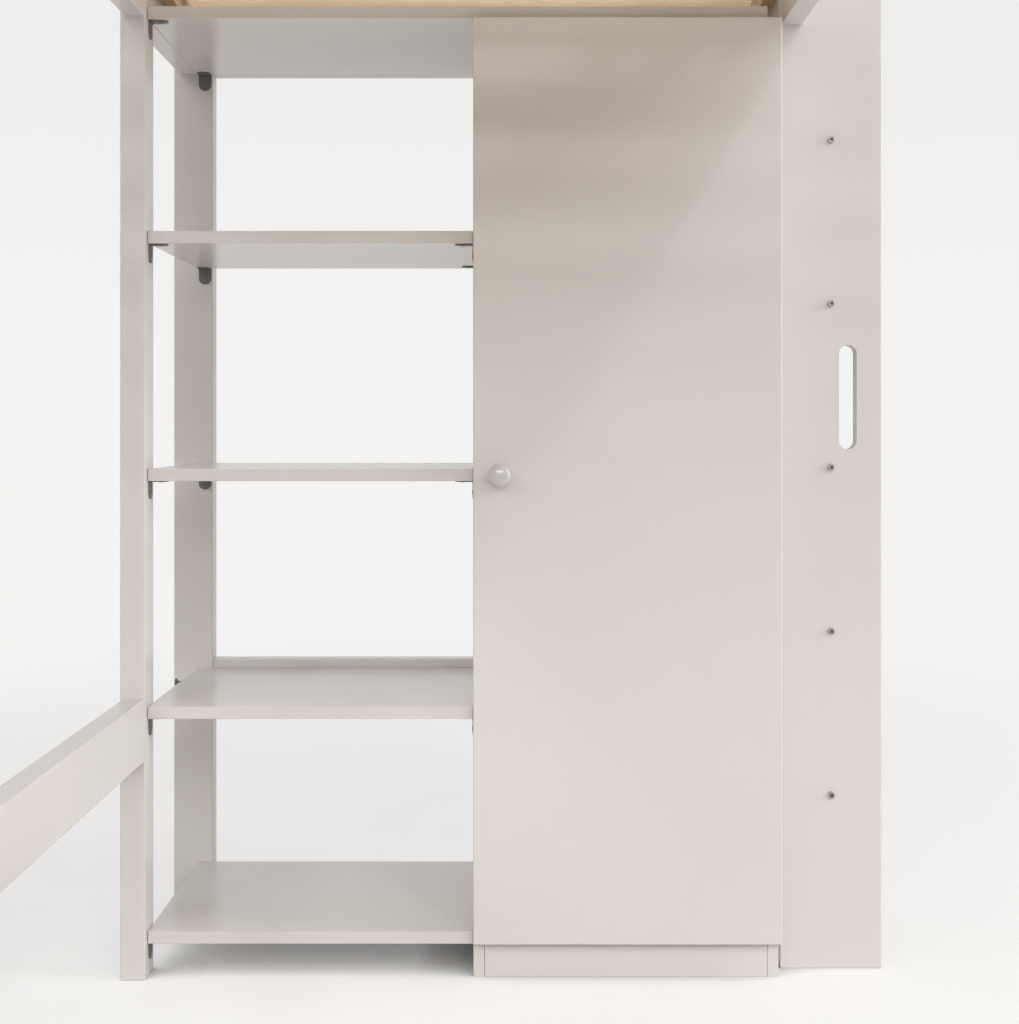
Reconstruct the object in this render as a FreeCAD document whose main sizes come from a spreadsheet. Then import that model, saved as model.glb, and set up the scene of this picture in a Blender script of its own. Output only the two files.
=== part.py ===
"""Loft bed with a wardrobe and open shelves under its far end, and a ladder beside them.

Sizes are in millimetres. The origin is on the floor, under the middle of the bed's outer box.
+X points to the ladder side, +Y along the bed to the wardrobe end, and +Z up.
"""
import FreeCAD, Part
import math
import os
import re
import Sketcher
from FreeCAD import Placement, Rotation, Vector

TREADS = 5
HINGES = 3
SLATS = 13

SIZES = {
    # Posts: four corners and one at the front of the wardrobe bay
    "clear_width": 926,
    "clear_length": 2008,
    "post_thick": 36,
    "post_depth": 60,
    "post_rise": 7,
    "rear_post_width": 65,
    "rear_post_depth": 40,
    "rear_post_reach": 25,
    "bay_depth": 416,
    "edge_round": 2,
    "foot_round": 1.5,
    # Rails
    "rail_thick": 31,
    "rail_height": 91,
    "lower_rail_z": 315.5,
    "platform_z": 1391,
    "platform_height": 130,
    "guard_gap": 72,
    # Slats and the cleats that carry them
    "cleat_width": 18,
    "cleat_height": 30,
    "slat_thick": 18,
    "slat_width": 70,
    "slat_sink": 32,
    "slat_play": 2,
    "slat_near_gap": 10,
    "slat_rear_gap": 34,
    # Ladder
    "stringer_width": 150,
    "stringer_thick": 28,
    "stringer_inset": 2,
    "ladder_span": 304,
    "tread_thick": 28,
    "tread_setback": 10,
    "tread_first": 255.7,
    "tread_top_gap": 170.5,
    "slot_width": 26,
    "slot_length": 154,
    "slot_from_edge": 100,
    "slot_above_tread": 26.4,
    "bolt_radius": 3,
    "bolt_bite": 42,
    "bolt_head_radius": 5,
    "bolt_head_height": 5.5,
    "bolt_head_bevel": 0.5,
    "bolt_socket": 5,
    "bolt_socket_depth": 3,
    "bolt_play": 0.2,
    # Shelves and top board
    "shelf_thick": 18,
    "shelf_setback": 16,
    "shelf_end_gap": 1,
    "shelf_1_z": 48,
    "shelf_2_z": 374,
    "shelf_3_z": 719,
    "shelf_4_z": 1064,
    "top_board_drop": 1,
    "board_edge": 1,
    # Angle brackets
    "bracket_leg": 27,
    "bracket_width": 21,
    "bracket_thick": 1.5,
    "bracket_setback": 35,
    "bracket_tip_flat": 0.2,
    # Wardrobe
    "panel_thick": 16,
    "carcass_width": 442.5,
    "carcass_setback": 17,
    "carcass_rear_gap": 2,
    "wardrobe_gap": 8.5,
    "plinth_height": 54,
    "plinth_end_gap": 0.5,
    "back_thick": 3,
    "hat_shelf_drop": 260,
    "hat_shelf_setback": 40,
    "hanging_rail_drop": 60,
    "hanging_rail_radius": 12.5,
    "hanging_rail_wall": 1.5,
    "socket_radius": 17,
    "socket_depth": 10,
    "socket_floor": 2,
    "socket_play": 0.2,
    # Door
    "door_width": 445,
    "door_thick": 18,
    "door_gap": 3,
    "door_overlap": 2.5,
    "door_bottom": 52.5,
    "door_top_gap": 2.5,
    "door_end_round": 1.5,
    # Concealed hinges
    "hinge_from_end": 100,
    "hinge_from_edge": 7,
    "hinge_behind_face": 10,
    "cup_radius": 17.5,
    "cup_edge": 3,
    "cup_depth": 12.5,
    "cup_wall": 1.2,
    "cup_floor": 1,
    "cup_play": 0.1,
    "flange_length": 62,
    "flange_width": 16,
    "flange_thick": 1,
    "pin_radius": 1.25,
    "pin_play": 0.05,
    "pin_end_gap": 0.3,
    "arm_width": 10,
    "arm_thick": 1.5,
    "arm_below_pin": 1.1,
    "arm_reach": 22,
    "plate_setback": 20,
    "plate_length": 45,
    "plate_width": 18,
    # Knob
    "knob_from_edge": 38,
    "knob_z": 728,
    "knob_radius": 16.5,
    "knob_centre": 18,
    "knob_length": 30,
    "knob_front_round": 6,
    "knob_neck_radius": 8,
    "knob_screw_radius": 2,
    "knob_screw_bite": 14,
    "knob_screw_head_radius": 4.5,
    "knob_screw_head_height": 2.2,
    "knob_screw_play": 0.15,
}

# Planes across the bed, shared by several pieces and written as formulas of the sizes
REAR_POST_OUT = "(clear_width / 2 - rear_post_reach + rear_post_width)"
LADDER_OUT = "(clear_width / 2 - stringer_inset + stringer_width)"
BED_X = f"(({REAR_POST_OUT} - {LADDER_OUT}) / 2)"
LEFT_IN = f"({BED_X} - clear_width / 2)"
RIGHT_IN = f"({BED_X} + clear_width / 2)"
LEFT_REAR_IN = f"({LEFT_IN} + rear_post_reach)"
RIGHT_REAR_IN = f"({RIGHT_IN} - rear_post_reach)"
LEFT_RAIL = (f"{LEFT_IN} - rail_thick", LEFT_IN)
RIGHT_RAIL = (RIGHT_IN, f"{RIGHT_IN} + rail_thick")
STRINGER_X = f"({RIGHT_IN} - stringer_inset)"
STRINGER_MID_X = f"({STRINGER_X} + stringer_width / 2)"

# Planes along the bed
NEAR_Y = "(-(post_depth + clear_length + rear_post_depth) / 2)"
NEAR_IN = f"({NEAR_Y} + post_depth)"
REAR_Y = f"({NEAR_IN} + clear_length)"
REAR_BACK = f"({REAR_Y} + rear_post_depth)"
MID_Y = f"({REAR_Y} - bay_depth)"
MID_BACK = f"({MID_Y} + post_depth)"
NEAR_RAIL_Y = f"({NEAR_Y} + (post_depth - rail_thick) / 2)"
NEAR_RAIL = (NEAR_RAIL_Y, f"{NEAR_RAIL_Y} + rail_thick")
REAR_RAIL_Y = f"({REAR_Y} + (rear_post_depth - rail_thick) / 2)"
REAR_RAIL = (REAR_RAIL_Y, f"{REAR_RAIL_Y} + rail_thick")
FAR_STRINGER_Y = f"({REAR_Y} - stringer_thick)"
TREAD_Y = (f"{FAR_STRINGER_Y} - ladder_span", FAR_STRINGER_Y)
NEAR_STRINGER_Y = f"({FAR_STRINGER_Y} - ladder_span - stringer_thick)"

# Heights
LOWER_RAIL = ("lower_rail_z", "lower_rail_z + rail_height")
PLATFORM_TOP = "(platform_z + platform_height)"
LOW_GUARD = (f"{PLATFORM_TOP} + guard_gap", f"{PLATFORM_TOP} + guard_gap + rail_height")
HIGH_GUARD = (f"{LOW_GUARD[1]} + guard_gap", f"{LOW_GUARD[1]} + guard_gap + rail_height")
POST_Z = ("0", f"{HIGH_GUARD[1]} + post_rise")
SLAT_Z = f"({PLATFORM_TOP} - slat_sink - slat_thick)"
TREAD_RISE = f"((platform_z - tread_top_gap - tread_first) / {TREADS - 1})"
TOP_BOARD_Z = "(platform_z - top_board_drop)"
SHELF_HEIGHTS = ["shelf_1_z", "shelf_2_z", "shelf_3_z", "shelf_4_z"]

# Wardrobe and door
WARDROBE_R = f"({STRINGER_X} - wardrobe_gap)"
WARDROBE_L = f"({WARDROBE_R} - carcass_width)"
INNER_L = f"({WARDROBE_L} + panel_thick)"
INNER_R = f"({WARDROBE_R} - panel_thick)"
CARCASS_Y = f"({MID_Y} + carcass_setback)"
CARCASS_BACK = f"({REAR_Y} - carcass_rear_gap)"
BACK_Y = f"({CARCASS_BACK} - back_thick)"
HAT_SHELF_Z = f"({TOP_BOARD_Z} - hat_shelf_drop)"
DOOR_R = f"({WARDROBE_R} + door_overlap)"
DOOR_L = f"({DOOR_R} - door_width)"
DOOR_BACK = f"({CARCASS_Y} - door_gap)"
DOOR_Y = f"({DOOR_BACK} - door_thick)"
DOOR_TOP = f"({TOP_BOARD_Z} - door_top_gap)"
HINGE_X = f"({DOOR_R} - hinge_from_edge)"
HINGE_Y = f"({DOOR_BACK} - hinge_behind_face)"
HINGE_Z = "(door_bottom + hinge_from_end)"
HINGE_PITCH = f"(({DOOR_TOP} - hinge_from_end - {HINGE_Z}) / {HINGES - 1})"
CUP_X = f"({DOOR_R} - cup_edge - cup_radius)"
KNOB_X = f"({DOOR_L} + knob_from_edge)"

DIRECTIONS = {
    "+x": Vector(1, 0, 0),
    "-x": Vector(-1, 0, 0),
    "+y": Vector(0, 1, 0),
    "-y": Vector(0, -1, 0),
    "+z": Vector(0, 0, 1),
    "-z": Vector(0, 0, -1),
}

doc = FreeCAD.newDocument("loft_bed")
sheet = doc.addObject("Spreadsheet::Sheet", "Sizes")
for row, (size_name, value) in enumerate(SIZES.items(), start=1):
    sheet.set(f"A{row}", size_name)
    sheet.set(f"B{row}", str(value))
    sheet.setAlias(f"B{row}", size_name)
doc.recompute()

pieces = []
corners = {}


def formula(text):
    """Turn a formula of size names into an expression on the sheet."""
    return re.sub(r"[a-z]\w*", lambda word: f"Sizes.{word[0]}" if word[0] in SIZES else word[0], text)


def bind(thing, setting, text):
    """Bind one property of a document object to a formula."""
    thing.setExpression(setting, formula(text))


def bind_place(thing, at):
    """Bind an object's position to three formulas."""
    for axis, text in zip("xyz", at):
        bind(thing, f"Placement.Base.{axis}", text)


def turned(direction):
    """Give the rotation that lays the local Z axis along a direction."""
    return Rotation(DIRECTIONS["+z"], DIRECTIONS[direction])


def new_body(name, at, listed=True):
    """Start a sub-part whose own origin sits at three formulas."""
    body = doc.addObject("PartDesign::Body", name)
    body.Label = name
    bind_place(body, at)
    corners[name] = at
    if listed:
        pieces.append(body)
    return body


def origin_part(body, role):
    """Find an origin plane or axis of a body."""
    return next(item for item in body.Origin.OriginFeatures if item.Role == role)


def block(body, name, low, high, cut=False):
    """Add a box between two corners in the body's own frame, or cut it away."""
    kind = "Subtractive" if cut else "Additive"
    box = body.newObject(f"PartDesign::{kind}Box", name)
    bind_place(box, low)
    for side, start, end in zip(("Length", "Width", "Height"), low, high):
        bind(box, side, f"({end}) - ({start})")
    return box


def round_bar(body, name, at, direction, radius, length, cut=False):
    """Add a cylinder from a point along a direction in the body's own frame, or cut it away."""
    kind = "Subtractive" if cut else "Additive"
    bar = body.newObject(f"PartDesign::{kind}Cylinder", name)
    bar.Placement = Placement(Vector(), turned(direction))
    bind_place(bar, at)
    bind(bar, "Radius", radius)
    bind(bar, "Height", length)
    return bar


def local(body, at):
    """Restate a point of the bed in a body's own frame."""
    return [f"({text}) - ({corner})" for text, corner in zip(at, corners[body.Name])]


def drill(body, at, direction, radius, depth):
    """Sink a round hole into a piece, from a point of the bed along a direction."""
    name = f"{body.Name}_hole_{len(body.Group)}"
    return round_bar(body, name, local(body, at), direction, radius, depth, cut=True)


def edge_names(feature, chosen):
    """Name the edges of a feature that a test chooses."""
    return [f"Edge{number}" for number, edge in enumerate(feature.Shape.Edges, start=1) if chosen(edge)]


def soften(body, feature, chosen, radius):
    """Round the chosen edges of a feature."""
    doc.recompute()
    rounding = body.newObject("PartDesign::Fillet", f"{body.Name}_rounding_{len(body.Group)}")
    rounding.Base = (feature, edge_names(feature, chosen))
    bind(rounding, "Radius", radius)
    return rounding


def along(axis):
    """Choose the straight edges that run along an axis."""
    def runs(edge):
        start, end = edge.Vertexes[0].Point, edge.Vertexes[-1].Point
        return abs((end - start).normalize().dot(DIRECTIONS[f"+{axis}"])) > 0.999
    return runs


def board(name, x, y, z, grain, edge="edge_round"):
    """Make a board between three pairs of formulas, with the edges along its grain rounded."""
    body = new_body(name, (x[0], y[0], z[0]))
    size = [f"({span[1]}) - ({span[0]})" for span in (x, y, z)]
    blank = block(body, f"{name}_blank", ("0", "0", "0"), size)
    soften(body, blank, along(grain), edge)
    return body


def upright(name, x, y):
    """Make a board that stands on the floor and reaches the top, with the edges of its foot rounded."""
    body = board(name, x, y, POST_Z, "z")
    soften(body, body.Tip, lambda edge: edge.BoundBox.ZMax < 0.001, "foot_round")
    return body


def new_sketch(body, name, plane):
    """Start a sketch on one of the body's origin planes."""
    sketch = body.newObject("Sketcher::SketchObject", name)
    sketch.AttachmentSupport = [(origin_part(body, plane), "")]
    sketch.MapMode = "FlatFace"
    return sketch


def pin_point(sketch, geometry, end, name, at):
    """Hold one end of a sketch line at two formulas."""
    for axis, text in zip("XY", at):
        sketch.addConstraint(Sketcher.Constraint(f"Distance{axis}", -1, 1, geometry, end, 1.0))
        label = f"{name}_{axis.lower()}"
        sketch.renameConstraint(sketch.ConstraintCount - 1, label)
        bind(sketch, f"Constraints.{label}", text)


def outline(sketch, points):
    """Draw a closed outline of straight lines through points given as formulas."""
    values = [Vector(*(read(text) for text in point), 0) for point in points]
    for start, end in zip(values, values[1:] + values[:1]):
        sketch.addGeometry(Part.LineSegment(start, end))
    for number, point in enumerate(points):
        following = (number + 1) % len(points)
        sketch.addConstraint(Sketcher.Constraint("Coincident", number, 2, following, 1))
        pin_point(sketch, number, 1, f"corner_{number}", point)


def read(text):
    """Work out a formula's value from the sheet."""
    return float(sheet.evalExpression(formula(text)))


def pad(body, sketch, length):
    """Raise a sketch to both sides of its plane."""
    feature = body.newObject("PartDesign::Pad", f"{sketch.Name}_pad")
    feature.Profile = sketch
    feature.SideType = "Symmetric"
    bind(feature, "Length", length)
    return feature


def turn(body, sketch, axis):
    """Spin a half outline once round an origin axis of the body."""
    feature = body.newObject("PartDesign::Revolution", f"{sketch.Name}_turn")
    feature.Profile = sketch
    feature.ReferenceAxis = (origin_part(body, axis), [""])
    feature.Angle = 360
    return feature


def row_of(body, axis, count, pitch):
    """Repeat everything made so far in a body along one of its axes."""
    pattern = body.newObject("PartDesign::LinearPattern", f"{body.Name}_row")
    pattern.TransformMode = "Whole shape"
    pattern.Direction = (origin_part(body, axis), [""])
    pattern.Occurrences = count
    bind(pattern, "Length", f"{pitch} * {count - 1}")
    body.Tip = pattern
    return pattern


def copies(name, master, places):
    """Set copies of one small piece at a list of places, as one named group."""
    links = []
    for number, (rotation, at) in enumerate(places, start=1):
        link = doc.addObject("App::Link", f"{name}_{number}")
        link.LinkedObject = master
        link.Placement = Placement(Vector(), rotation)
        bind_place(link, at)
        links.append(link)
    group = doc.addObject("Part::Compound", name)
    group.Label = name
    group.Links = links
    pieces.append(group)
    return group


def make_posts():
    """Four corner posts and the post at the front of the wardrobe bay."""
    left = (f"{LEFT_IN} - post_thick", LEFT_IN)
    right = (RIGHT_IN, f"{RIGHT_IN} + post_thick")
    near = (NEAR_Y, NEAR_IN)
    rear = (REAR_Y, REAR_BACK)
    rear_left = (f"{LEFT_REAR_IN} - rear_post_width", LEFT_REAR_IN)
    rear_right = (RIGHT_REAR_IN, f"{RIGHT_REAR_IN} + rear_post_width")
    upright("near_left_post", left, near)
    upright("near_right_post", right, near)
    upright("mid_left_post", left, (MID_Y, MID_BACK))
    upright("rear_left_post", rear_left, rear)
    upright("rear_right_post", rear_right, rear)


def make_rails():
    """Platform rails, lower rails and guard rails between the posts."""
    platform = ("platform_z", PLATFORM_TOP)
    long_left = (NEAR_IN, MID_Y)
    bay_left = (MID_BACK, REAR_Y)
    long_right = (NEAR_IN, NEAR_STRINGER_Y)
    near_span = (LEFT_IN, RIGHT_IN)
    rear_span = (LEFT_REAR_IN, RIGHT_REAR_IN)
    board("left_platform_rail", LEFT_RAIL, long_left, platform, "y")
    board("left_bay_rail", LEFT_RAIL, bay_left, platform, "y")
    board("right_platform_rail", RIGHT_RAIL, long_right, platform, "y")
    board("right_bay_rail", RIGHT_RAIL, TREAD_Y, platform, "y")
    board("near_platform_rail", near_span, NEAR_RAIL, platform, "x")
    board("rear_platform_rail", rear_span, REAR_RAIL, platform, "x")
    board("left_lower_rail", LEFT_RAIL, long_left, LOWER_RAIL, "y")
    board("near_lower_rail", near_span, NEAR_RAIL, LOWER_RAIL, "x")
    board("rear_lower_rail", rear_span, REAR_RAIL, LOWER_RAIL, "x")
    for level, span in (("low", LOW_GUARD), ("high", HIGH_GUARD)):
        board(f"left_guard_rail_{level}", LEFT_RAIL, long_left, span, "y")
        board(f"left_bay_guard_rail_{level}", LEFT_RAIL, bay_left, span, "y")
        board(f"right_guard_rail_{level}", RIGHT_RAIL, long_right, span, "y")
        board(f"near_guard_rail_{level}", near_span, NEAR_RAIL, span, "x")
        board(f"rear_guard_rail_{level}", rear_span, REAR_RAIL, span, "x")


def make_slats():
    """Cleats on the platform rails, and the slats that lie across them."""
    height = (f"{SLAT_Z} - cleat_height", SLAT_Z)
    left = (LEFT_IN, f"{LEFT_IN} + cleat_width")
    right = (f"{RIGHT_IN} - cleat_width", RIGHT_IN)
    board("left_cleat", left, (NEAR_IN, MID_Y), height, "y", "board_edge")
    board("left_bay_cleat", left, (MID_BACK, REAR_Y), height, "y", "board_edge")
    board("right_cleat", right, (NEAR_IN, NEAR_STRINGER_Y), height, "y", "board_edge")
    board("right_bay_cleat", right, TREAD_Y, height, "y", "board_edge")
    across = (f"{LEFT_IN} + slat_play", f"{RIGHT_IN} - slat_play")
    first = (f"{NEAR_IN} + slat_near_gap", f"{NEAR_IN} + slat_near_gap + slat_width")
    slats = board("slats", across, first, (SLAT_Z, f"{SLAT_Z} + slat_thick"), "x")
    pitch = f"((clear_length - slat_near_gap - slat_rear_gap - slat_width) / {SLATS - 1})"
    row_of(slats, "Y_Axis", SLATS, pitch)


def tread_height(number):
    """Give the middle height of a tread, counted from 0 at the bottom."""
    return f"(tread_first + {number} * {TREAD_RISE})"


def cut_hand_hold(body):
    """Cut the upright hand-hold slot, with round ends, through a ladder stringer."""
    sketch = new_sketch(body, f"{body.Name}_slot", "XZ_Plane")
    radius = "slot_width / 2"
    bottom = f"{tread_height(TREADS // 2)} + slot_above_tread + {radius}"
    straight = "slot_length - slot_width"
    centre_x, low, tall, half = (read(text) for text in ("slot_from_edge", bottom, straight, radius))
    low_circle = Part.Circle(Vector(centre_x, low, 0), DIRECTIONS["+z"], half)
    high_circle = Part.Circle(Vector(centre_x, low + tall, 0), DIRECTIONS["+z"], half)
    right_top = Vector(centre_x + half, low + tall, 0)
    left_top = Vector(centre_x - half, low + tall, 0)
    sketch.addGeometry(Part.ArcOfCircle(low_circle, math.pi, 2 * math.pi))
    sketch.addGeometry(Part.LineSegment(Vector(centre_x + half, low, 0), right_top))
    sketch.addGeometry(Part.ArcOfCircle(high_circle, 0, math.pi))
    sketch.addGeometry(Part.LineSegment(left_top, Vector(centre_x - half, low, 0)))
    for piece in range(4):
        sketch.addConstraint(Sketcher.Constraint("Tangent", piece, 2, (piece + 1) % 4, 1))
    sketch.addConstraint(Sketcher.Constraint("Equal", 0, 2))
    sketch.addConstraint(Sketcher.Constraint("Vertical", 1))
    settings = (
        ("half_width", Sketcher.Constraint("Radius", 0, half), radius),
        ("straight_run", Sketcher.Constraint("DistanceY", 0, 3, 2, 3, tall), straight),
    )
    for label, constraint, text in settings:
        sketch.addConstraint(constraint)
        sketch.renameConstraint(sketch.ConstraintCount - 1, label)
        bind(sketch, f"Constraints.{label}", text)
    pin_point(sketch, 0, 3, "low_centre", ("slot_from_edge", bottom))
    pocket = body.newObject("PartDesign::Pocket", f"{body.Name}_hand_hold")
    pocket.Profile = sketch
    pocket.Type = "ThroughAll"
    pocket.Midplane = True
    return pocket


def make_ladder():
    """Two slotted stringers, the treads between them and the bolts that hold the treads."""
    across = (STRINGER_X, f"{STRINGER_X} + stringer_width")
    near = upright("ladder_near_stringer", across, (NEAR_STRINGER_Y, TREAD_Y[0]))
    far = upright("ladder_far_stringer", across, (FAR_STRINGER_Y, REAR_Y))
    cut_hand_hold(near)
    cut_hand_hold(far)
    hole = "bolt_radius + bolt_play"
    depth = "bolt_bite + bolt_play"
    tread_x = (f"{STRINGER_X} + tread_setback", f"{STRINGER_X} + stringer_width - tread_setback")
    sides = ((near, NEAR_STRINGER_Y, TREAD_Y[0], "+y"), (far, REAR_Y, TREAD_Y[1], "-y"))
    places = []
    for number in range(TREADS):
        middle = tread_height(number)
        height = (f"{middle} - tread_thick / 2", f"{middle} + tread_thick / 2")
        tread = board(f"ladder_tread_{number + 1}", tread_x, TREAD_Y, height, "y")
        for side, face, tread_end, way in sides:
            drill(side, (STRINGER_MID_X, face, middle), way, hole, "stringer_thick")
            drill(tread, (STRINGER_MID_X, tread_end, middle), way, hole, depth)
            places.append((turned(way), (STRINGER_MID_X, face, middle)))
    copies("ladder_bolts", make_bolt(), places)


def make_bolt():
    """A cap-head bolt with a hexagon socket, its shank along +Z from under the head."""
    body = new_body("ladder_bolt", ("0", "0", "0"), listed=False)
    round_bar(body, "bolt_shank", ("0", "0", "0"), "+z", "bolt_radius", "stringer_thick + bolt_bite")
    head = round_bar(body, "bolt_head", ("0", "0", "0"), "-z", "bolt_head_radius", "bolt_head_height")
    top = -read("bolt_head_height")
    doc.recompute()
    rim = edge_names(head, lambda edge: abs(edge.BoundBox.ZMax - top) < 0.001)
    bevel = body.newObject("PartDesign::Chamfer", "bolt_head_rim")
    bevel.Base = (head, rim)
    bind(bevel, "Size", "bolt_head_bevel")
    sketch = new_sketch(body, "bolt_socket_outline", "XY_Plane")
    reach = "bolt_socket / 2 / cos(30 deg)"
    outline(sketch, [(f"{reach} * cos({n} * 60 deg)", f"{reach} * sin({n} * 60 deg)") for n in range(6)])
    bind(sketch, "AttachmentOffset.Base.z", "-bolt_head_height")
    socket = body.newObject("PartDesign::Pocket", "bolt_socket_cut")
    socket.Profile = sketch
    socket.Reversed = True
    bind(socket, "Length", "bolt_socket_depth")
    return body


def bracket_places():
    """Give the turn and the corner of each angle bracket, at both ends of every shelf."""
    facing_right = Rotation()
    facing_left = Rotation(DIRECTIONS["+z"], 180)
    facing_near = Rotation(DIRECTIONS["+z"], -90)
    front = f"({MID_Y} + bracket_setback)"
    back = f"({REAR_Y} - bracket_setback)"
    rear_x = f"({LEFT_IN} + rear_post_reach / 2)"
    places = []
    for z in SHELF_HEIGHTS + [TOP_BOARD_Z]:
        places.append((facing_right, (LEFT_IN, front, z)))
        places.append((facing_near, (rear_x, REAR_Y, z)))
    for z in SHELF_HEIGHTS:
        places.append((facing_left, (WARDROBE_L, front, z)))
        places.append((facing_left, (WARDROBE_L, back, z)))
    return places


def make_shelves():
    """Four open shelves beside the wardrobe, and the top board over both."""
    depth = (f"{MID_Y} + shelf_setback", REAR_Y)
    across = (f"{LEFT_IN} + shelf_end_gap", f"{WARDROBE_L} - shelf_end_gap")
    for number, bottom in enumerate(SHELF_HEIGHTS, start=1):
        board(f"shelf_{number}", across, depth, (bottom, f"{bottom} + shelf_thick"), "x", "board_edge")
    over = (f"{LEFT_IN} + shelf_end_gap", INNER_R)
    board("top_board", over, depth, (TOP_BOARD_Z, f"{TOP_BOARD_Z} + shelf_thick"), "x", "board_edge")


def make_bracket():
    """A flat-bar angle with round leg ends: one leg down, one leg along +X under the shelf."""
    body = new_body("bracket", ("0", "0", "0"), listed=False)
    sketch = new_sketch(body, "bracket_profile", "XZ_Plane")
    leg, thick = "bracket_leg", "bracket_thick"
    level_leg = [("0", "0"), (leg, "0"), (leg, f"-{thick}"), (thick, f"-{thick}")]
    upright_leg = [(thick, f"-{leg}"), ("0", f"-{leg}")]
    outline(sketch, level_leg + upright_leg)
    angle = pad(body, sketch, "bracket_width")
    reach, wall = read(leg), read(thick)

    def tip(edge):
        short = abs(edge.Length - wall) < 0.001
        middle = edge.CenterOfMass
        return short and max(middle.x, -middle.z) > reach - 0.001
    soften(body, angle, tip, "bracket_width / 2 - bracket_tip_flat")
    return body


def make_brackets():
    """Every angle bracket under the shelves and the top board."""
    copies("shelf_brackets", make_bracket(), bracket_places())


def make_wardrobe():
    """The wardrobe's carcass, with a hat shelf and a hanging rail inside."""
    inside = (INNER_L, INNER_R)
    deep = (CARCASS_Y, CARCASS_BACK)
    ahead_of_back = (CARCASS_Y, BACK_Y)
    floor = ("plinth_height", "plinth_height + panel_thick")
    lid = (f"{TOP_BOARD_Z} - panel_thick", TOP_BOARD_Z)
    hat_shelf = (HAT_SHELF_Z, f"{HAT_SHELF_Z} + panel_thick")
    board("wardrobe_left_side", (WARDROBE_L, INNER_L), deep, ("0", TOP_BOARD_Z), "z", "board_edge")
    board("wardrobe_right_side", (INNER_R, WARDROBE_R), deep, ("0", TOP_BOARD_Z), "z", "board_edge")
    board("wardrobe_floor", inside, ahead_of_back, floor, "x", "board_edge")
    board("wardrobe_lid", inside, ahead_of_back, lid, "x", "board_edge")
    plinth_x = (f"{INNER_L} + plinth_end_gap", f"{INNER_R} - plinth_end_gap")
    plinth_y = (CARCASS_Y, f"{CARCASS_Y} + panel_thick")
    board("wardrobe_plinth", plinth_x, plinth_y, ("0", "plinth_height"), "x", "board_edge")
    back = new_body("wardrobe_back", (INNER_L, BACK_Y, "plinth_height"))
    size = (f"{INNER_R} - {INNER_L}", "back_thick", f"{TOP_BOARD_Z} - plinth_height")
    block(back, "wardrobe_back_sheet", ("0", "0", "0"), size)
    shelf_y = (f"{CARCASS_Y} + hat_shelf_setback", BACK_Y)
    board("wardrobe_hat_shelf", inside, shelf_y, hat_shelf, "x", "board_edge")
    make_hanging_rail()


def make_hanging_rail():
    """A tube across the wardrobe under the hat shelf, and the two sockets that hold it."""
    middle_y = f"(({CARCASS_Y} + {BACK_Y}) / 2)"
    height = f"({HAT_SHELF_Z} - hanging_rail_drop)"
    start = f"({INNER_L} + socket_floor)"
    length = f"({INNER_R} - {INNER_L} - 2 * socket_floor)"
    rail = new_body("hanging_rail", (start, middle_y, height))
    here = ("0", "0", "0")
    inner_radius = "hanging_rail_radius - hanging_rail_wall"
    round_bar(rail, "hanging_tube", here, "+x", "hanging_rail_radius", length)
    round_bar(rail, "hanging_tube_bore", here, "+x", inner_radius, length, cut=True)
    socket = new_body("rail_socket", here, listed=False)
    round_bar(socket, "socket_disc", here, "+x", "socket_radius", "socket_depth")
    seat = ("socket_floor", "0", "0")
    seat_radius = "hanging_rail_radius + socket_play"
    round_bar(socket, "socket_seat", seat, "+x", seat_radius, "socket_depth", cut=True)
    turns = ((Rotation(), INNER_L), (Rotation(DIRECTIONS["+z"], 180), INNER_R))
    copies("hanging_rail_sockets", socket, [(rotation, (x, middle_y, height)) for rotation, x in turns])


def make_door():
    """The slab door, rounded all round, with cup holes for its hinges and a hole for the knob's screw."""
    door = board("wardrobe_door", (DOOR_L, DOOR_R), (DOOR_Y, DOOR_BACK), ("door_bottom", DOOR_TOP), "z")
    top = read(f"{DOOR_TOP} - door_bottom")

    def at_an_end(edge):
        box = edge.BoundBox
        return box.ZMax < 0.001 or box.ZMin > top - 0.001
    soften(door, door.Tip, at_an_end, "door_end_round")
    for number in range(HINGES):
        centre = (CUP_X, DOOR_BACK, f"{HINGE_Z} + {number} * {HINGE_PITCH}")
        drill(door, centre, "-y", "cup_radius + cup_play", "cup_depth + cup_play")
    drill(door, (KNOB_X, DOOR_BACK, "knob_z"), "-y", "knob_screw_radius + knob_screw_play", "door_thick")


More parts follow.
